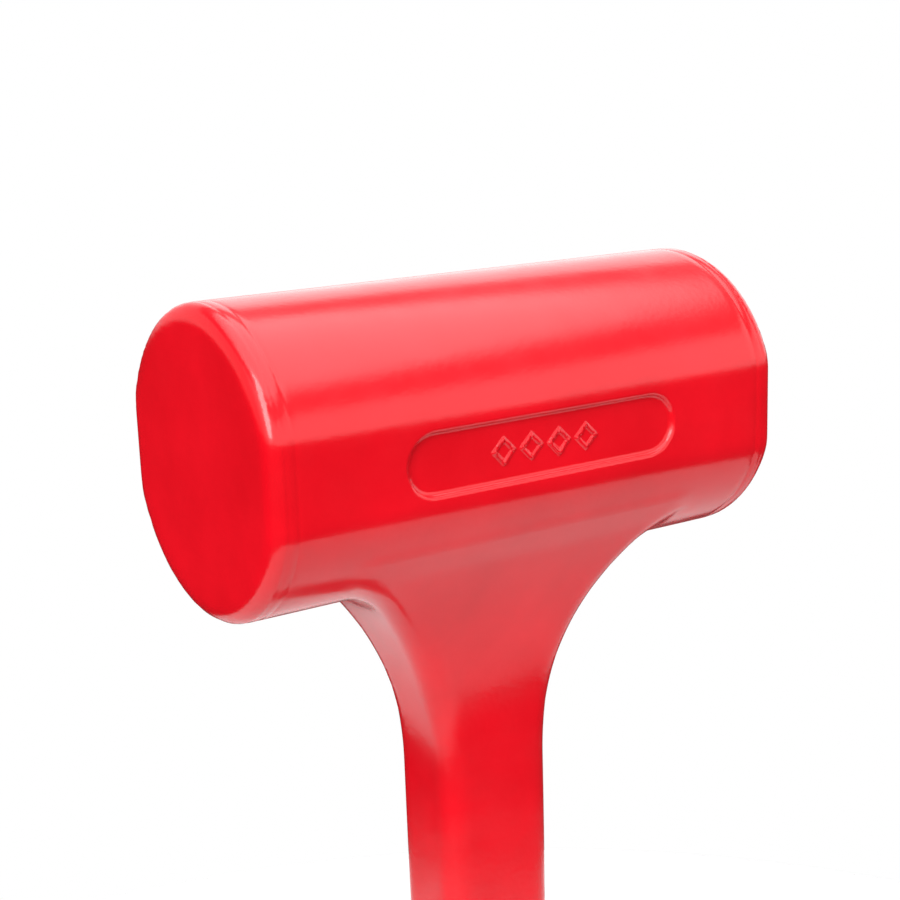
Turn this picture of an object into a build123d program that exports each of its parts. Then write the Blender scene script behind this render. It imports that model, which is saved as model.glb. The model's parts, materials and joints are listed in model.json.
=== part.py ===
from build123d import *
import os
from math import asin, sin, sqrt

# Dead blow mallet: a steel canister part-filled with loose steel shot, welded to a steel bar,
# with one tough plastic jacket moulded over both. The jacket is the head, the neck and the handle.
#
# Frame: the origin is the middle of the grip, on the handle's axis. +Z runs up the handle towards
# the head, X is the head's axis (the striking faces look along +X and -X) and Y runs across the
# head's two flats.

# ---- driving dimensions, mm ----
overall_length = 350.0        # butt to the top of the head
head_diameter = 62.0
head_length = 122.0           # face to face
flat_span = 59.2              # across the two flats
face_rim_radius = 3.3         # rounding round each striking face
grip_centre_below_head = 243.0

# recessed label panel on each flat
panel_length = 64.0
panel_height = 12.0
panel_depth = 0.9
mark_count = 4                # generic row of raised open diamonds in the panel
mark_height = 5.8             # corner to corner
mark_pitch = 6.7
mark_stroke = 0.8
mark_relief = 0.45            # above the panel's floor

# neck, from the waist up into the head
waist_below_head = 75.0
waist_width = 26.8            # along X
waist_thickness = 21.0        # along Y
neck_front_radius = 65.0      # concave sweep seen from the front
neck_side_radius = 80.0       # concave sweep seen from the side, tangent to the head
neck_corner_radius = 4.5
neck_sections = 6
neck_sweep = 0.75             # share of the full quarter sweep, up to just inside the head
neck_root_width = 66.0        # top of the neck, inside the head

# handle, below the waist
grip_length = 120.0
grip_width = 33.0
grip_thickness = 26.5
grip_corner_radius = 9.0
grip_end_width = 30.5
grip_end_thickness = 24.5
shank_width = 27.5
shank_thickness = 22.0
shank_corner_radius = 7.0
butt_width = 36.0
butt_thickness = 28.0
butt_height = 18.0
butt_edge_radius = 5.0
butt_flare_height = 17.0      # from the butt up to the slim end of the grip
hang_hole_diameter = 9.0
hang_hole_above_butt = 11.0

# steel inside
canister_diameter = 48.0
canister_wall = 3.0
canister_length = 106.0
cap_thickness = 3.0
cap_recess = 2.0              # each cap sits this far inside the tube's end
rod_diameter = 10.0
rod_end_above_butt = 30.0
rod_weld_leg = 6.0            # along the bar and out along the tube
rod_weld_root = 2.0           # how far the weld's cone runs on, up to the tube's curved side

# shot charge
shot_diameter = 7.2
shot_gap = 0.15               # between neighbouring balls
shot_layers = 13

# ---- worked out from them ----
head_radius = head_diameter / 2
head_height = grip_centre_below_head
butt_bottom = head_height + head_radius - overall_length
butt_top = butt_bottom + butt_height
waist_height = head_height - waist_below_head
grip_top = butt_top + grip_length
neck_root_height = head_height - head_radius / 2
canister_radius = canister_diameter / 2
bore_radius = canister_radius - canister_wall
rod_radius = rod_diameter / 2
rod_bottom = butt_bottom + rod_end_above_butt
cap_outer_x = canister_length / 2 - cap_recess
cap_inner_x = cap_outer_x - cap_thickness
panel_floor = flat_span / 2 - panel_depth
shot_radius = shot_diameter / 2
shot_pitch = shot_diameter + shot_gap
layer_pitch = shot_pitch * sqrt(2 / 3)

sides = (("left", -1), ("right", 1))
head_plane = Plane.YZ         # looks along the head's axis
os.makedirs("parts", exist_ok=True)


def save(piece, label):
    """Label one finished piece and write its STEP file."""
    piece.part.label = label
    export_step(piece.part, f"parts/{label}.step")


def neck_half_width(height):
    """Half the neck's width along X: straight to the waist, then a concave quarter sweep."""
    rise = min(max(height - waist_height, 0), neck_front_radius)
    return waist_width / 2 + neck_front_radius - sqrt(neck_front_radius**2 - rise**2)


def neck_half_thickness(height):
    """Half the neck's thickness along Y: a concave sweep that leaves the head tangentially."""
    reach = waist_thickness / 2 + neck_side_radius
    sweep_start = head_height - sqrt((head_radius + neck_side_radius) ** 2 - reach**2)
    rise = max(height - sweep_start, 0)
    return reach - sqrt(neck_side_radius**2 - rise**2)


def neck_rows():
    """Sections from the waist up, closer together as the sweep turns outwards."""
    rows = []
    for step in range(neck_sections + 1):
        height = waist_height + neck_front_radius * sin(asin(neck_sweep) * step / neck_sections)
        width = 2 * neck_half_width(height)
        thickness = 2 * neck_half_thickness(height)
        rows.append((height, width, thickness, neck_corner_radius))
    return rows


def grip_rows():
    """Sections from the butt up to the shank between grip and waist."""
    butt_flare = butt_top + butt_flare_height
    shank_middle = (grip_top + waist_height) / 2
    return [
        (butt_top, butt_width, butt_thickness, grip_corner_radius),
        (butt_flare, grip_end_width, grip_end_thickness, grip_corner_radius),
        ((butt_top + grip_top) / 2, grip_width, grip_thickness, grip_corner_radius),
        (grip_top, grip_end_width, grip_end_thickness, grip_corner_radius),
        (shank_middle, shank_width, shank_thickness, shank_corner_radius),
    ]


def layer_centres(offset_row):
    """Ball centres of one shot layer: a triangular grid cut to the canister's bore."""
    shift = shot_pitch / sqrt(3) if offset_row else 0
    reach = bore_radius - shot_radius
    most = int(bore_radius // shot_pitch) + 1
    steps = range(-most, most + 1)
    points = []
    for i in steps:
        for j in steps:
            y = shot_pitch * (i + j / 2)
            z = shot_pitch * j * sqrt(3) / 2 + shift
            if sqrt(y**2 + z**2) < reach:
                points.append((y, z))
    return points


# ---- canister ----
with BuildPart() as canister_tube:
    with BuildSketch(head_plane):
        with Locations((0, head_height)):
            Circle(canister_radius)
            Circle(bore_radius, mode=Mode.SUBTRACT)
    extrude(amount=canister_length / 2, both=True)
save(canister_tube, "canister_tube")

for side, sign in sides:
    with BuildPart() as canister_cap:
        with BuildSketch(head_plane.offset(sign * cap_inner_x)):
            with Locations((0, head_height)):
                Circle(bore_radius)
        extrude(amount=sign * cap_thickness)
    save(canister_cap, f"canister_cap_{side}")

    with BuildPart() as cap_weld:
        with BuildSketch(Plane.XZ):
            with BuildLine():
                seat = (sign * cap_outer_x, head_height + bore_radius)
                lip = (sign * canister_length / 2, head_height + bore_radius)
                toe = (sign * cap_outer_x, head_height + bore_radius - cap_recess)
                Line(toe, seat)
                Line(seat, lip)
                Line(lip, toe)
            make_face()
        revolve(axis=Axis((0, 0, head_height), (1, 0, 0)))
    save(cap_weld, f"cap_weld_{side}")

# ---- handle bar and its weld ----
with BuildPart() as canister_envelope:
    with BuildSketch(head_plane):
        with Locations((0, head_height)):
            Circle(canister_radius)
    extrude(amount=canister_length / 2, both=True)

with BuildPart() as handle_rod:
    with BuildSketch(Plane.XY.offset(rod_bottom)):
        Circle(rod_radius)
    extrude(amount=head_height - rod_bottom)
    add(canister_envelope.part, mode=Mode.SUBTRACT)
save(handle_rod, "handle_rod")

with BuildPart() as rod_weld:
    with BuildSketch(Plane.XY.offset(head_height - canister_radius - rod_weld_leg)):
        Circle(rod_radius)
    with BuildSketch(Plane.XY.offset(head_height - canister_radius + rod_weld_root)):
        Circle(rod_radius + rod_weld_leg)
    loft()
    add(canister_envelope.part, mode=Mode.SUBTRACT)
    with BuildSketch(Plane.XY.offset(rod_bottom)):
        Circle(rod_radius)
    extrude(amount=head_height - rod_bottom, mode=Mode.SUBTRACT)
save(rod_weld, "rod_weld")

# ---- shot charge: layers of loose balls stacked along the canister ----
for number in range(shot_layers):
    layer_x = (number - (shot_layers - 1) / 2) * layer_pitch
    centres = layer_centres(number % 2 == 1)
    with BuildPart() as shot_layer:
        with Locations(*[(layer_x, y, head_height + z) for y, z in centres]):
            Sphere(shot_radius)
    save(shot_layer, f"shot_layer_{number + 1:02d}")

# ---- jacket: one moulding round all of the steel ----
with BuildPart() as jacket:
    # head: a cylinder with a flat on each side and rounded face rims
    with BuildSketch(head_plane):
        with Locations((0, head_height)):
            Circle(head_radius)
            Rectangle(flat_span, head_diameter, mode=Mode.INTERSECT)
    extrude(amount=head_length / 2, both=True)
    face_edges = jacket.faces().filter_by(Axis.X).edges()
    fillet(face_edges, face_rim_radius)
    # butt: a straight block with a rounded end
    with BuildSketch(Plane.XY.offset(butt_bottom)):
        RectangleRounded(butt_width, butt_thickness, grip_corner_radius)
    extrude(amount=butt_height)
    fillet(jacket.faces().sort_by(Axis.Z)[0].edges(), butt_edge_radius)
    # grip and neck in one smooth run
    for height, width, thickness, corner in grip_rows() + neck_rows():
        with BuildSketch(Plane.XY.offset(height)):
            RectangleRounded(width, thickness, corner)
    loft()
    # root of the neck, buried in the head
    root_thickness = 2 * neck_half_thickness(neck_root_height)
    neck_top = neck_rows()[-1]
    root = (neck_root_height, neck_root_width, root_thickness, neck_corner_radius)
    for height, width, thickness, corner in (neck_top, root):
        with BuildSketch(Plane.XY.offset(height)):
            RectangleRounded(width, thickness, corner)
    loft(ruled=True)
    # label panel on each flat, with a row of raised open diamonds on its floor
    for sign in (-1, 1):
        with BuildSketch(Plane.XZ.offset(sign * panel_floor)):
            with Locations((0, head_height)):
                SlotOverall(panel_length, panel_height)
        extrude(amount=sign * panel_depth, mode=Mode.SUBTRACT)
        with BuildSketch(Plane.XZ.offset(sign * panel_floor)):
            with Locations((0, head_height)):
                with GridLocations(mark_pitch, 0, mark_count, 1):
                    RegularPolygon(mark_height / 2, 4)
                    RegularPolygon(mark_height / 2 - mark_stroke * sqrt(2), 4, mode=Mode.SUBTRACT)
        extrude(amount=sign * mark_relief)
    # hanging hole through the butt
    with BuildSketch(Plane.XZ):
        with Locations((0, butt_bottom + hang_hole_above_butt)):
            Circle(hang_hole_diameter / 2)
    extrude(amount=butt_thickness, both=True, mode=Mode.SUBTRACT)
    # the space that the steel fills
    for piece in (canister_envelope, handle_rod, rod_weld):
        add(piece.part, mode=Mode.SUBTRACT)
save(jacket, "jacket")
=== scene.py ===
import json
import math

import bpy
import bmesh
import numpy as np
import openvdb
from mathutils import Matrix, Vector


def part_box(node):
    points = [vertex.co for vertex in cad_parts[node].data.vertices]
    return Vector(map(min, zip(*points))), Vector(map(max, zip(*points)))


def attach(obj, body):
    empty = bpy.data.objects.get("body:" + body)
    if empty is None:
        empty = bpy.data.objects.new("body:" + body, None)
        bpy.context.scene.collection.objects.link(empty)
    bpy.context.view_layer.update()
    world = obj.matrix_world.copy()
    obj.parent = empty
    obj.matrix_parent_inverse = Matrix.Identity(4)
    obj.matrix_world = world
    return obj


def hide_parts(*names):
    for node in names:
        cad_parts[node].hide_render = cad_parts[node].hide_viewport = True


# Dead blow mallet. The red jacket is one moulding, so it is one mesh: a distance field of the head,
# the neck and the handle is meshed, refined where the detail is fine and pulled onto the field.
# The steel inside it is carried over from the CAD with better materials.
# Shapes are worked out in mm; the frame, the lights and the textures are in metres.

MM = 0.001

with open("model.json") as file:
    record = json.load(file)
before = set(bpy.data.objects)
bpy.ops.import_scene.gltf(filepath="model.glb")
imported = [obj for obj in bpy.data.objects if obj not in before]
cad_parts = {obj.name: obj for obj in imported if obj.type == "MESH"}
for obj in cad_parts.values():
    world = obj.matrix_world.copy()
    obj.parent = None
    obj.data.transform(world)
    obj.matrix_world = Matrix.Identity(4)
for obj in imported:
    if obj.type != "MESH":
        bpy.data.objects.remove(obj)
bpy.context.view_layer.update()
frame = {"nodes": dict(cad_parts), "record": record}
record = frame["record"]
mounts = {mount["name"]: mount for mount in record["mounts"]}


def in_mm(point):
    return [value / MM for value in point]


# ---- dimensions taken from the frame ----
jacket_low, jacket_high = (in_mm(corner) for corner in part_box("jacket"))
head_half_length, _, head_z = in_mm(mounts["face_right"]["pos_m"])
head_radius = jacket_high[2] - head_z
flat_half = jacket_high[1]
butt_z = jacket_low[2]
hole_z = in_mm(mounts["hang_hole"]["pos_m"])[2]
hole_radius = mounts["hang_hole"]["dims"]["r_mm"]
butt_half_thickness = mounts["hang_hole"]["dims"]["length_mm"] / 2

# ---- head ----
rim_radius = 3.4               # round each striking face
flat_crease = 0.6              # softness of the flats' long edges
witness_insets = (3.2, 5.3)    # two fine mould lines behind each face
witness_depth = 0.11
witness_width = 0.32

# ---- neck: pairs are along X and along Y ----
waist_z = head_z - 75.0        # where the handle is narrowest
waist_half = (13.4, 10.5)
neck_radius = (65.0, 80.0)     # of the sweep from the handle out to the head
neck_reach = waist_half[1] + neck_radius[1]
neck_touch = head_radius + neck_radius[1]
neck_start_z = (
    waist_z,
    head_z - math.sqrt(neck_touch**2 - neck_reach**2),  # for the sweep to touch the head's round
)
neck_half_limit = (
    42.0,                      # the sweep runs on along the head's underside
    neck_reach * head_radius / neck_touch,  # where the sweep touches the head's round
)
neck_top_z = head_z - 12.0     # the neck ends inside the head
neck_fillets = (1.5, 4.0)      # into the head, at the neck's front and at its sides
fillet_turn = (0.05, 0.95)     # share of a quarter turn in which one fillet becomes the other
neck_corner = (4.5, 6.0)       # at the waist and near the head
neck_corner_z = head_z - 28.0  # where the second one is reached

# ---- handle: pairs of half sizes are along X and along Y ----
grip_z = (butt_z + 18.0, butt_z + 138.0)
grip_middle_z = (grip_z[0] + grip_z[1]) / 2
shank_z = (grip_z[1] + waist_z) / 2
flare_z = (grip_z[0] - 2.0, grip_z[0] + 16.0)  # where the butt closes in to the grip
butt_half = (18.0, butt_half_thickness)
grip_end_half = (15.25, 12.25)
grip_half = (16.5, 13.25)
shank_half = (13.75, 11.0)
draft = 0.3                    # narrowing of the butt upwards, and of the grip's upper end
handle_corner = 9.0
butt_rounding = 5.5
hole_rounding = 2.2

# ---- label panel on each flat ----
panel_half = (32.3, 6.1)
panel_depth = 0.95
panel_soft = 0.5
mark_count = 4
mark_half = (2.9, 2.9)
mark_pitch = 6.7
mark_stroke = 0.8
mark_relief = 0.5
mark_soft = 0.3                # rounding of the marks' upper edges
mark_foot = 0.25               # rounding where they stand on the panel's floor

# ---- grip pattern ----
pattern_z = (grip_z[0] + 4.0, grip_z[1] - 2.0)
pattern_fade = 2.0
diamonds_per_quarter = 4
diamond_height = 7.6
groove_depth = 0.65
groove_slope = (0.05, 0.6)     # foot and top of its wall, from a groove's middle (0) to a diamond's (1)

# ---- mesh fineness ----
voxel = 1.5
band = 3 * voxel               # depth of the field that is kept on each side of the surface
settle_steps = 4
project_steps = 4
longest_move = 0.6             # in one step onto the surface
least_square = 0.05            # of the slope, so that a level spot can't throw a point away
panel_margin = 1.5             # finer mesh reaches this far round each detail
mark_margin = 0.8
pattern_margin = 1.0
witness_margin = 1.0
flat_reach = 2.0               # and this deep below the flats
tiny = 1e-6                    # mm for angles at a corner's centre, m for points that are the same


def smooth_max(a, b, soft):
    """The larger of two distances, with the crease between them rounded."""
    overlap = np.clip(soft - np.abs(a - b), 0, None) / soft
    return np.maximum(a, b) + overlap * overlap * soft / 4


def smooth_min(a, b, soft):
    return -smooth_max(-a, -b, soft)


def round_join(a, b, radius):
    """Union of two distances with a fillet of the given radius in the inner corner."""
    reach = np.hypot(np.clip(radius - a, 0, None), np.clip(radius - b, 0, None))
    return np.maximum(radius, np.minimum(a, b)) - reach


def round_meet(a, b, radius):
    """Intersection of two distances with a rounded outer edge."""
    inner_a = a + radius
    inner_b = b + radius
    outside = np.hypot(np.clip(inner_a, 0, None), np.clip(inner_b, 0, None))
    return np.minimum(np.maximum(inner_a, inner_b), 0) + outside - radius


def smooth_step(low, high, value):
    """Rise from 0 to 1 between two values, level at both ends."""
    share = np.clip((value - low) / (high - low), 0, 1)
    return share * share * (3 - 2 * share)


def along(rows, z):
    """A smooth curve through (height, value) rows, with level ends."""
    heights = np.array([row[0] for row in rows])
    values = np.array([row[1] for row in rows])
    slopes = np.gradient(values, heights)
    slopes[0] = slopes[-1] = 0
    i = np.clip(np.searchsorted(heights, z) - 1, 0, len(heights) - 2)
    span = heights[i + 1] - heights[i]
    t = np.clip((z - heights[i]) / span, 0, 1)
    start = values[i] * (1 + 2 * t) * (1 - t) ** 2 + slopes[i] * span * t * (1 - t) ** 2
    end = values[i + 1] * t * t * (3 - 2 * t) + slopes[i + 1] * span * t * t * (t - 1)
    return start + end


def handle_half(z, side):
    """Half the handle's width (side 0) or thickness (side 1) at a height."""
    rows = [
        (butt_z, butt_half[side]),
        (flare_z[0], butt_half[side] - draft),
        (flare_z[1], grip_end_half[side]),
        (grip_middle_z, grip_half[side]),
        (grip_z[1], grip_end_half[side] - draft),
        (shank_z, shank_half[side]),
        (waist_z, waist_half[side]),
    ]
    radius = neck_radius[side]
    rise = np.clip(z - neck_start_z[side], 0, radius)
    sweep = radius - np.sqrt(radius**2 - rise**2)
    return np.minimum(along(rows, z) + sweep, neck_half_limit[side])


def handle_section(x, y, z):
    """Distance to the handle's section, steps past the corner's centre, half sizes, corner radius."""
    half_x = handle_half(z, 0)
    half_y = handle_half(z, 1)
    corner = handle_corner + (neck_corner[0] - handle_corner) * smooth_step(grip_z[1], waist_z, z)
    corner = corner + (neck_corner[1] - neck_corner[0]) * smooth_step(waist_z, neck_corner_z, z)
    out_x = np.abs(x) - half_x + corner
    out_y = np.abs(y) - half_y + corner
    outside = np.hypot(np.clip(out_x, 0, None), np.clip(out_y, 0, None))
    distance = outside + np.minimum(np.maximum(out_x, out_y), 0) - corner
    return distance, out_x, out_y, half_x, half_y, corner


def corner_angle(out_x, out_y):
    """Angle round a corner of the handle: 0 on its sides, a quarter turn on its front and back."""
    return np.arctan2(np.clip(out_y, 0, None), np.clip(out_x, tiny, None))


def join_radius(out_x, out_y):
    """Fillet of the neck into the head: full on its sides, next to none on its front."""
    turn = corner_angle(out_x, out_y) / (math.pi / 2)
    front, side = neck_fillets
    return side + (front - side) * smooth_step(*fillet_turn, turn)


def witness_lines(x):
    """Depth of the two mould lines behind each face."""
    inset = head_half_length - np.abs(x)
    depth = 0
    for place in witness_insets:
        depth = depth + witness_depth * np.exp(-(((inset - place) / witness_width) ** 2))
    return depth


def grip_pattern(out_x, out_y, half_x, half_y, corner, z):
    """Depth of the diamond grooves: 0 on the diamonds, up to groove_depth between them."""
    # the way round a quarter of the section, from the middle of a side to the middle of the front
    flat_y = half_y - corner
    arc = corner * math.pi / 2
    on_side = np.clip(flat_y + np.minimum(out_y, 0), 0, flat_y)
    way = np.where(out_y > 0, flat_y + corner * corner_angle(out_x, out_y), on_side)
    on_front = (out_x < 0) & (out_y > out_x)
    way = np.where(on_front, flat_y + arc - out_x, way)
    quarter = flat_y + arc + half_x - corner
    turn = way / quarter * diamonds_per_quarter
    climb = (z - butt_z) / diamond_height * 2
    groove_a = np.abs(np.sin(math.pi / 2 * (turn + climb)))
    groove_b = np.abs(np.sin(math.pi / 2 * (turn - climb)))
    groove = 1 - smooth_step(*groove_slope, np.minimum(groove_a, groove_b))
    low, high = pattern_z
    mask = smooth_step(low, low + pattern_fade, z) * (1 - smooth_step(high - pattern_fade, high, z))
    return groove_depth * groove * mask


def panel_field(x, y, z):
    """Cut of the label panel (negative inside it) and the raised mark on its floor."""
    up = z - head_z
    along_x = np.clip(np.abs(x) - (panel_half[0] - panel_half[1]), 0, None)
    outline = np.hypot(along_x, up) - panel_half[1]
    floor = (flat_half - panel_depth) - np.abs(y)
    cut = smooth_max(outline, floor, panel_soft)
    first = -mark_pitch * (mark_count - 1) / 2
    step = np.clip(np.round((x - first) / mark_pitch), 0, mark_count - 1)
    centre_x = first + step * mark_pitch
    slant = math.hypot(mark_half[0], mark_half[1])
    reach = np.abs(x - centre_x) / mark_half[0] + np.abs(up) / mark_half[1] - 1
    diamond = reach * mark_half[0] * mark_half[1] / slant
    stroke = np.abs(diamond + mark_stroke / 2) - mark_stroke / 2
    top = np.abs(y) - (flat_half - panel_depth + mark_relief)
    return cut, smooth_max(stroke, top, mark_soft)


def jacket_field(points):
    """Signed distance-like field of the jacket's outside, negative inside."""
    x, y, z = points[:, 0], points[:, 1], points[:, 2]
    up = z - head_z
    section = smooth_max(np.hypot(y, up) - head_radius, np.abs(y) - flat_half, flat_crease)
    section = section + witness_lines(x)
    head = round_meet(section, np.abs(x) - head_half_length, rim_radius)
    handle, out_x, out_y, half_x, half_y, corner = handle_section(x, y, z)
    handle = handle + grip_pattern(out_x, out_y, half_x, half_y, corner, z)
    handle = round_meet(handle, butt_z - z, butt_rounding)
    handle = np.maximum(handle, z - neck_top_z)
    solid = round_join(head, handle, join_radius(out_x, out_y))
    cut, mark = panel_field(x, y, z)
    solid = smooth_max(solid, -cut, panel_soft)
    # the mark's field runs through the head, so it only counts in the outer halves
    solid = np.where(np.abs(y) > flat_half / 2, smooth_min(solid, mark, mark_foot), solid)
    hole = hole_radius - np.hypot(x, z - hole_z)
    return smooth_max(solid, hole, hole_rounding)


def field_slope(points, step=0.02):
    """Slope of the field along each axis, by differences."""
    slope = np.empty_like(points)
    for axis in range(3):
        shift = np.zeros(3)
        shift[axis] = step
        slope[:, axis] = (jacket_field(points + shift) - jacket_field(points - shift)) / (2 * step)
    return slope


def onto_surface(points):
    """Pull points onto the jacket's surface by Newton steps."""
    for _ in range(project_steps):
        slope = field_slope(points)
        value = jacket_field(points)
        size = np.maximum((slope**2).sum(1), least_square)
        move = np.clip(value / size, -longest_move, longest_move)
        points = points - slope * move[:, None]
    return points


def first_mesh():
    """Quads over the field from a grid of voxels."""
    low = np.array(jacket_low) - band
    high = np.array(jacket_high) + band
    counts = np.ceil((high - low) / voxel).astype(int) + 1
    axes = [low[k] + voxel * np.arange(counts[k]) for k in range(3)]
    grid_points = np.stack(np.meshgrid(*axes, indexing="ij"), -1).reshape(-1, 3)
    values = np.clip(jacket_field(grid_points), -band, band)
    grid = openvdb.FloatGrid(band)
    grid.copyFromArray(values.reshape(counts).astype(np.float32))
    points, quads = grid.convertToQuads(0.0)
    return points.astype(float) * voxel + low, quads[:, ::-1].astype(int)


def settle(points, quads):
    """Even out the quads: move each point half way to its neighbours' middle, then back on."""
    for _ in range(settle_steps):
        total = np.zeros_like(points)
        count = np.zeros(len(points))
        for a, b in ((0, 1), (1, 2), (2, 3), (3, 0)):
            np.add.at(total, quads[:, a], points[quads[:, b]])
            np.add.at(total, quads[:, b], points[quads[:, a]])
            np.add.at(count, quads[:, a], 1)
            np.add.at(count, quads[:, b], 1)
        points = onto_surface((points + total / count[:, None]) / 2)
    return points


def near_flat(centre, half_x, half_z):
    """Whether a place is close under a flat, within a window about the head's middle."""
    in_window = abs(centre.x) < half_x and abs(centre.z - head_z) < half_z
    return in_window and abs(centre.y) > flat_half - flat_reach


def near_panel(centre):
    return near_flat(centre, panel_half[0] + panel_margin, panel_half[1] + panel_margin)


def near_mark(centre):
    row_half = mark_pitch * (mark_count - 1) / 2 + mark_half[0]
    return near_flat(centre, row_half + mark_margin, mark_half[1] + mark_margin)


def near_pattern(centre):
    return pattern_z[0] - pattern_margin < centre.z < pattern_z[1] + pattern_margin


def near_witness(centre):
    inset = head_half_length - abs(centre.x)
    return witness_insets[0] - witness_margin < inset < witness_insets[1] + witness_margin


def refine(mesh_data, wanted, rounds):
    """Split the edges of the faces that a test picks out."""
    for _ in range(rounds):
        picked = {face for face in mesh_data.faces if wanted(face.calc_center_median())}
        edges = [edge for edge in mesh_data.edges if picked.intersection(edge.link_faces)]
        bmesh.ops.subdivide_edges(mesh_data, edges=edges, cuts=1, use_grid_fill=True)


def add_void(mesh_data):
    """Add the jacket's inside wall, which is the CAD's: the faces that never reach the outside."""
    wall = bmesh.new()
    wall.from_mesh(frame["nodes"]["jacket"].data)
    bmesh.ops.remove_doubles(wall, verts=wall.verts, dist=tiny)
    outer = max(wall.verts, key=lambda vert: vert.co.x)
    waiting = [outer]
    reached = {outer}
    while waiting:
        for edge in waiting.pop().link_edges:
            for vert in edge.verts:
                if vert not in reached:
                    reached.add(vert)
                    waiting.append(vert)
    bmesh.ops.delete(wall, geom=list(reached), context="VERTS")
    inside = bpy.data.meshes.new("void")
    wall.to_mesh(inside)
    wall.free()
    mesh_data.from_mesh(inside)
    bpy.data.meshes.remove(inside)


def new_piece(name, mesh_data, material):
    """A piece in the scene from mesh data, which is used up."""
    mesh = bpy.data.meshes.new(name)
    mesh_data.to_mesh(mesh)
    mesh_data.free()
    mesh.materials.append(material)
    piece = bpy.data.objects.new(name, mesh)
    bpy.context.collection.objects.link(piece)
    return piece


def build_jacket(material):
    """The whole moulding: the outside from the field and the inside wall from the CAD."""
    points, quads = first_mesh()
    points = settle(onto_surface(points), quads)
    mesh_data = bmesh.new()
    corners = [mesh_data.verts.new(point) for point in points]
    for quad in quads:
        mesh_data.faces.new([corners[i] for i in quad])
    refine(mesh_data, near_panel, 2)
    refine(mesh_data, near_mark, 1)
    refine(mesh_data, near_pattern, 1)
    refine(mesh_data, near_witness, 2)
    fine = onto_surface(np.array([vert.co[:] for vert in mesh_data.verts]))
    for vert, point in zip(mesh_data.verts, fine):
        vert.co = Vector(point) * MM
    add_void(mesh_data)
    piece = new_piece("jacket_moulding", mesh_data, material)
    piece.data.shade_smooth()
    return piece


# ---- colours ----
moulded_red = (0.80, 0.003, 0.010)
dark_red = (0.64, 0.0025, 0.009)
light_red = (0.74, 0.0035, 0.012)
drawn_grey = (0.45, 0.45, 0.46)
cut_grey = (0.5, 0.5, 0.51)
rust_brown = (0.16, 0.07, 0.035)
heat_colours = (               # along a tube's end, from the clean steel to the weld
    (0.0, drawn_grey),
    (0.35, (0.5, 0.38, 0.2)),
    (0.6, (0.3, 0.17, 0.2)),
    (0.8, (0.14, 0.18, 0.3)),
)
heat_start = 0.86              # share of the tube's half length


# ---- materials: their sizes are in metres ----
def grey(level):
    return (level, level, level)


def new_material(name, base, roughness, metallic=0.0):
    """A Principled material with its nodes, ready for more."""
    material = bpy.data.materials.new(name)
    material.use_nodes = True
    nodes = material.node_tree.nodes
    shader = nodes["Principled BSDF"]
    shader.inputs["Base Color"].default_value = (*base, 1)
    shader.inputs["Roughness"].default_value = roughness
    shader.inputs["Metallic"].default_value = metallic
    return material, nodes, material.node_tree.links, shader


def noise(nodes, links, place, scale, detail, stretch=(1, 1, 1)):
    mapping = nodes.new("ShaderNodeMapping")
    mapping.inputs["Scale"].default_value = stretch
    links.new(place, mapping.inputs["Vector"])
    texture = nodes.new("ShaderNodeTexNoise")
    texture.inputs["Scale"].default_value = scale
    texture.inputs["Detail"].default_value = detail
    links.new(mapping.outputs["Vector"], texture.inputs["Vector"])
    return texture.outputs["Fac"]


def ramp(nodes, links, factor, stops):
    """Colour by a factor, through (factor, colour) stops."""
    node = nodes.new("ShaderNodeValToRGB")
    elements = node.color_ramp.elements
    while len(elements) < len(stops):
        elements.new(0.5)
    for element, (position, colour) in zip(elements, stops):
        element.position = position
        element.color = (*colour, 1)
    links.new(factor, node.inputs["Fac"])
    return node.outputs["Color"]


def clouds(nodes, links, factor, low, high):
    """Colour from low to high over the middle of a noise."""
    return ramp(nodes, links, factor, ((0.3, low), (0.7, high)))


def map_range(nodes, links, value, given, wanted=(0, 1)):
    """A value moved from one range to another and held within it."""
    node = nodes.new("ShaderNodeMapRange")
    node.inputs["From Min"].default_value, node.inputs["From Max"].default_value = given
    node.inputs["To Min"].default_value, node.inputs["To Max"].default_value = wanted
    links.new(value, node.inputs["Value"])
    return node.outputs["Result"]


def bump(nodes, links, height, strength, distance, normal=None):
    node = nodes.new("ShaderNodeBump")
    node.inputs["Strength"].default_value = strength
    node.inputs["Distance"].default_value = distance
    links.new(height, node.inputs["Height"])
    if normal:
        links.new(normal, node.inputs["Normal"])
    return node.outputs["Normal"]


def mixed(nodes, links, factor, low, high):
    """Colour between two others, each a plain colour or a node's output."""
    mix = nodes.new("ShaderNodeMix")
    mix.data_type = "RGBA"
    links.new(factor, mix.inputs["Factor"])
    for socket, colour in (("A", low), ("B", high)):
        target = next(one for one in mix.inputs if one.name == socket and one.type == "RGBA")
        if isinstance(colour, tuple):
            target.default_value = (*colour, 1)
        else:
            links.new(colour, target)
    return next(one for one in mix.outputs if one.type == "RGBA")


def red_plastic():
    """Moulded red plastic: a little mottled, with a waxy sheen and a faint ripple."""
    material, nodes, links, shader = new_material("jacket_red", moulded_red, roughness=0.17)
    place = nodes.new("ShaderNodeTexCoord").outputs["Object"]
    mottle = noise(nodes, links, place, scale=60, detail=4)
    links.new(clouds(nodes, links, mottle, dark_red, light_red), shader.inputs["Base Color"])
    haze = noise(nodes, links, place, scale=140, detail=5)
    links.new(clouds(nodes, links, haze, grey(0.14), grey(0.21)), shader.inputs["Roughness"])
    skin = noise(nodes, links, place, scale=900, detail=3)
    waves = noise(nodes, links, place, scale=45, detail=2)
    fine = bump(nodes, links, skin, strength=0.12, distance=0.0002)
    ripple = bump(nodes, links, waves, strength=0.15, distance=0.0006, normal=fine)
    links.new(ripple, shader.inputs["Normal"])
    shader.inputs["IOR"].default_value = 1.5
    return material


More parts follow.
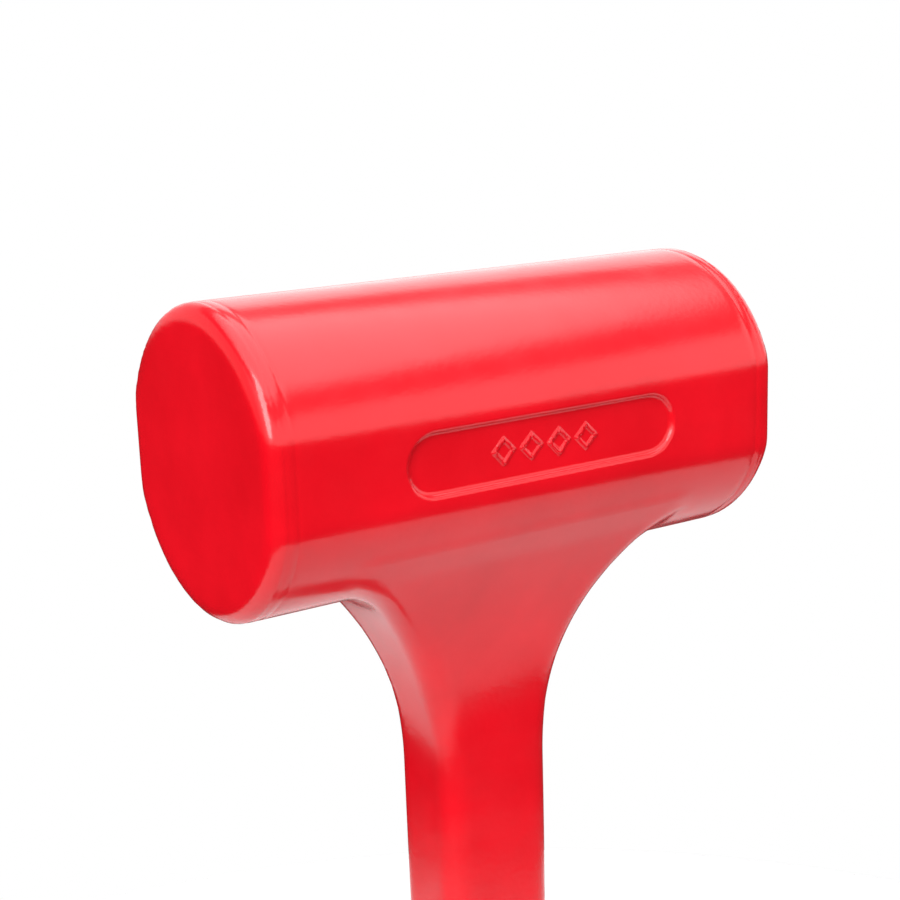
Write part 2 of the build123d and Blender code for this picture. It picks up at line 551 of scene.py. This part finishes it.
def steel(name, base, roughness, spread):
    """Bare steel with cloudy roughness: material, nodes, links, shader and the object coordinate."""
    material, nodes, links, shader = new_material(name, base, roughness, metallic=1.0)
    place = nodes.new("ShaderNodeTexCoord").outputs["Object"]
    cloud = noise(nodes, links, place, scale=90, detail=5)
    dullness = clouds(nodes, links, cloud, grey(roughness - spread), grey(roughness + spread))
    links.new(dullness, shader.inputs["Roughness"])
    return material, nodes, links, shader, place


def rust(nodes, links, place, clean, amount):
    """Clean steel with patches of brown rust."""
    patches = noise(nodes, links, place, scale=160, detail=6)
    cover = ramp(nodes, links, patches, ((1 - amount, grey(0)), (1.15 - amount, grey(1))))
    return mixed(nodes, links, cover, clean, rust_brown)


def heat_tint(nodes, links, place):
    """Straw, purple and blue towards the end welds of the tube."""
    split = nodes.new("ShaderNodeSeparateXYZ")
    links.new(place, split.inputs["Vector"])
    length = nodes.new("ShaderNodeMath")
    length.operation = "ABSOLUTE"
    links.new(split.outputs["X"], length.inputs[0])
    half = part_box("canister_tube")[1].x
    heat = map_range(nodes, links, length.outputs[0], (half * heat_start, half))
    return ramp(nodes, links, heat, heat_colours)


def tube_steel():
    """Drawn tube: fine lines along it, heat tint and a little rust."""
    material, nodes, links, shader, place = steel("canister_steel", drawn_grey, 0.36, spread=0.08)
    lines = noise(nodes, links, place, scale=900, detail=3, stretch=(0.03, 1, 1))
    links.new(bump(nodes, links, lines, strength=0.3, distance=0.0002), shader.inputs["Normal"])
    tint = heat_tint(nodes, links, place)
    links.new(rust(nodes, links, place, tint, amount=0.3), shader.inputs["Base Color"])
    return material


def turned_steel():
    """Blanked and faced discs: fine rings round the head's axis."""
    material, nodes, links, shader, place = steel("cap_steel", cut_grey, 0.3, spread=0.06)
    centre = nodes.new("ShaderNodeMapping")
    centre.inputs["Location"].default_value = (0, 0, -head_z * MM)
    links.new(place, centre.inputs["Vector"])
    rings = nodes.new("ShaderNodeTexWave")
    rings.wave_type = "RINGS"
    rings.rings_direction = "X"
    rings.inputs["Scale"].default_value = 700
    rings.inputs["Distortion"].default_value = 0.4
    links.new(centre.outputs["Vector"], rings.inputs["Vector"])
    turned = bump(nodes, links, rings.outputs["Fac"], strength=0.35, distance=0.0001)
    links.new(turned, shader.inputs["Normal"])
    links.new(rust(nodes, links, place, cut_grey, amount=0.3), shader.inputs["Base Color"])
    return material


def weld_steel():
    """Weld metal: lumpy, dull, with soot and straw colour."""
    material, nodes, links, shader, place = steel("weld_steel", (0.33, 0.32, 0.33), 0.5, spread=0.12)
    lumps = noise(nodes, links, place, scale=320, detail=2)
    grain = noise(nodes, links, place, scale=1500, detail=4)
    fine = bump(nodes, links, grain, strength=0.3, distance=0.0001)
    bead = bump(nodes, links, lumps, strength=0.8, distance=0.0006, normal=fine)
    links.new(bead, shader.inputs["Normal"])
    soot = noise(nodes, links, place, scale=200, detail=4)
    colour = clouds(nodes, links, soot, (0.1, 0.09, 0.09), (0.42, 0.38, 0.33))
    links.new(colour, shader.inputs["Base Color"])
    return material


def bar_steel():
    """Hot rolled bar: dark scale with rust showing through."""
    material, nodes, links, shader, place = steel("rod_steel", (0.2, 0.2, 0.21), 0.55, spread=0.1)
    shader.inputs["Metallic"].default_value = 0.7
    scale = noise(nodes, links, place, scale=700, detail=5, stretch=(1, 1, 0.3))
    links.new(bump(nodes, links, scale, strength=0.4, distance=0.0003), shader.inputs["Normal"])
    rusty = rust(nodes, links, place, (0.17, 0.17, 0.19), amount=0.5)
    links.new(rusty, shader.inputs["Base Color"])
    return material


def ball_steel():
    """Cast steel shot, polished by rubbing, with small pits."""
    material, nodes, links, shader, place = steel("shot_steel", (0.55, 0.55, 0.56), 0.24, spread=0.08)
    pits = noise(nodes, links, place, scale=1300, detail=4)
    links.new(bump(nodes, links, pits, strength=0.3, distance=0.0002), shader.inputs["Normal"])
    shade = noise(nodes, links, place, scale=120, detail=2)
    colour = clouds(nodes, links, shade, (0.42, 0.42, 0.44), (0.6, 0.6, 0.6))
    links.new(colour, shader.inputs["Base Color"])
    return material


def finish_steel():
    """Give each steel CAD node the material of its slot."""
    makers = {
        "canister_steel": tube_steel,
        "cap_steel": turned_steel,
        "weld_steel": weld_steel,
        "rod_steel": bar_steel,
        "shot_steel": ball_steel,
    }
    made = {slot: maker() for slot, maker in makers.items()}
    for part in record["subparts"]:
        if part["material_slot"] in made:
            for holder in frame["nodes"][part["node"]].material_slots:
                holder.material = made[part["material_slot"]]


finish_steel()
jacket = build_jacket(red_plastic())
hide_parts("jacket")
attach(jacket, "mallet")


# ---- camera ----
view_azimuth = math.radians(-34.485)
view_elevation = math.radians(13.834)
view_roll = math.radians(-1.727)
view_distance = 356.4          # mm, from the middle of the head
view_offset = (3.0, -11.7)     # mm, to the right and up
focal_share = 1.8942222        # focal length in picture widths
sensor = 36.0
shift_share = (-0.03, 0.03)


def place_camera():
    back = Vector((
        math.sin(view_azimuth) * math.cos(view_elevation),
        -math.cos(view_azimuth) * math.cos(view_elevation),
        math.sin(view_elevation),
    ))
    level_right = Vector((0, 0, 1)).cross(back).normalized()
    level_up = back.cross(level_right)
    right = math.cos(view_roll) * level_right + math.sin(view_roll) * level_up
    up = -math.sin(view_roll) * level_right + math.cos(view_roll) * level_up
    data = bpy.data.cameras.new("camera")
    data.sensor_width = sensor
    data.lens = focal_share * sensor
    data.shift_x, data.shift_y = shift_share
    data.clip_start = 0.01
    data.clip_end = 20
    camera = bpy.data.objects.new("camera", data)
    bpy.context.collection.objects.link(camera)
    eye = Vector((0, 0, head_z)) + back * view_distance + right * view_offset[0] + up * view_offset[1]
    turn = Matrix((right, up, back)).transposed().to_4x4()
    camera.matrix_world = Matrix.Translation(eye * MM) @ turn
    bpy.context.scene.camera = camera


# ---- floor and light, in metres ----
floor_radius = 0.45
floor_white = 0.55
light_bands = (                # height (-1 straight down, 1 straight up) and brightness
    (-0.05, 0.02),             # next to dark below the horizon
    (0.03, 0.5),               # a lit wall all round
    (0.52, 0.5),
    (0.58, 0.12),              # a dark gap
    (0.7, 0.12),
    (0.77, 0.85),              # a bright ceiling
)
far_side = (-0.6, 0.8, 0)      # the studio is dimmer towards the head's far side
far_share = (0.4, 0.75)        # cosine of the angle to it at which the light starts and ends dimming
studio_strength = (3.3, 1.1)   # before and after
key_direction = (-0.76, -0.42, 0.5)
key_distance = 1.2
key_size = (0.45, 0.95)
key_energy = 10.5


def lay_floor():
    disc = bmesh.new()
    bmesh.ops.create_circle(disc, cap_ends=True, segments=96, radius=floor_radius)
    bmesh.ops.translate(disc, verts=disc.verts, vec=(0, 0, butt_z * MM))
    material = new_material("floor_white", grey(floor_white), roughness=0.7)[0]
    new_piece("floor", disc, material)


def studio_light():
    """A soft studio all round: brightness by height and by side, behind a plain white backdrop."""
    world = bpy.data.worlds.new("studio")
    world.use_nodes = True
    nodes = world.node_tree.nodes
    links = world.node_tree.links
    direction = nodes.new("ShaderNodeTexCoord").outputs["Generated"]
    split = nodes.new("ShaderNodeSeparateXYZ")
    links.new(direction, split.inputs["Vector"])
    height = map_range(nodes, links, split.outputs["Z"], (-1, 1))
    stops = [((place + 1) / 2, grey(level)) for place, level in light_bands]
    side = nodes.new("ShaderNodeVectorMath")
    side.operation = "DOT_PRODUCT"
    side.inputs[1].default_value = far_side
    links.new(direction, side.inputs[0])
    strength = map_range(nodes, links, side.outputs["Value"], far_share, studio_strength)
    light = nodes["Background"]
    links.new(ramp(nodes, links, height, stops), light.inputs["Color"])
    links.new(strength, light.inputs["Strength"])
    backdrop = nodes.new("ShaderNodeBackground")
    backdrop.inputs["Color"].default_value = (1, 1, 1, 1)
    seen = nodes.new("ShaderNodeLightPath").outputs["Is Camera Ray"]
    mix = nodes.new("ShaderNodeMixShader")
    links.new(seen, mix.inputs["Fac"])
    links.new(light.outputs["Background"], mix.inputs[1])
    links.new(backdrop.outputs["Background"], mix.inputs[2])
    links.new(mix.outputs["Shader"], nodes["World Output"].inputs["Surface"])
    bpy.context.scene.world = world


def key_light():
    """A tall soft box on the left, which draws the bright line along the face's rim."""
    direction = Vector(key_direction).normalized()
    lamp = bpy.data.lights.new("key", "AREA")
    lamp.shape = "RECTANGLE"
    lamp.size, lamp.size_y = key_size
    lamp.energy = key_energy
    box = bpy.data.objects.new("key", lamp)
    bpy.context.collection.objects.link(box)
    box.location = Vector((0, 0, head_z * MM)) + direction * key_distance
    box.rotation_euler = direction.to_track_quat("Z", "Y").to_euler()
    box.visible_camera = False


place_camera()
lay_floor()
studio_light()
key_light()
bpy.context.scene.view_settings.view_transform = "Standard"
